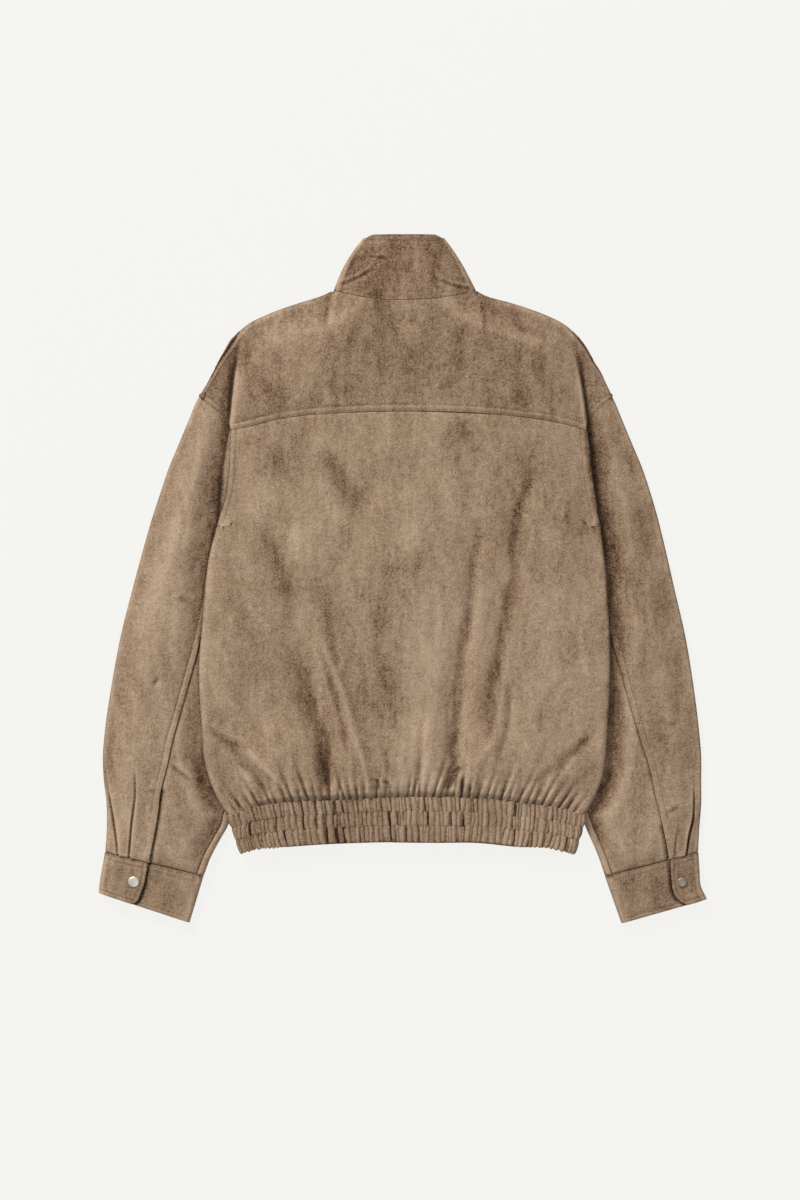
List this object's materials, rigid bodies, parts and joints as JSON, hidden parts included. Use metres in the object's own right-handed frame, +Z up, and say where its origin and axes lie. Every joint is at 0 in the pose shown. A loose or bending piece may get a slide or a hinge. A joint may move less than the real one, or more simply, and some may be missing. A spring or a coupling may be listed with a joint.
{
  "type": "suede jacket",
  "caption": "Suede blouson laid flat with its back up: yoke over dropped shoulders, stand collar, lapped cuffs with press studs and a shirred elastic waistband.",
  "frame": {"origin": "on the table under the middle of the laid-out jacket, at the middle of its overall box", "axes": "+Z up from the table, out of the jacket's back; +Y from the hem to the collar; -X to the wearer's left sleeve, +X to the right one"},
  "size_m": [0.7129, 0.807, 0.024],
  "materials": {
    "suede": "brown suede, napped and matt",
    "suede_band": "brown suede, doubled, napped and matt",
    "stud_metal": "satin press stud caps"
  },
  "bodies": {
    "root": {"back_panel": "suede", "back_yoke": "suede", "collar": "suede_band", "cuff_left": "suede_band", "cuff_right": "suede_band", "cuff_stud_left": "stud_metal", "cuff_stud_right": "stud_metal", "front_left": "suede", "front_right": "suede", "front_stud_1": "stud_metal", "front_stud_2": "stud_metal", "front_stud_3": "stud_metal", "front_stud_4": "stud_metal", "front_stud_5": "stud_metal", "front_stud_6": "stud_metal", "sleeve_head_left": "suede", "sleeve_head_right": "suede", "sleeve_outer_left": "suede", "sleeve_outer_right": "suede", "sleeve_under_left": "suede", "sleeve_under_right": "suede", "waistband": "suede_band"}
  },
  "joints": []
}
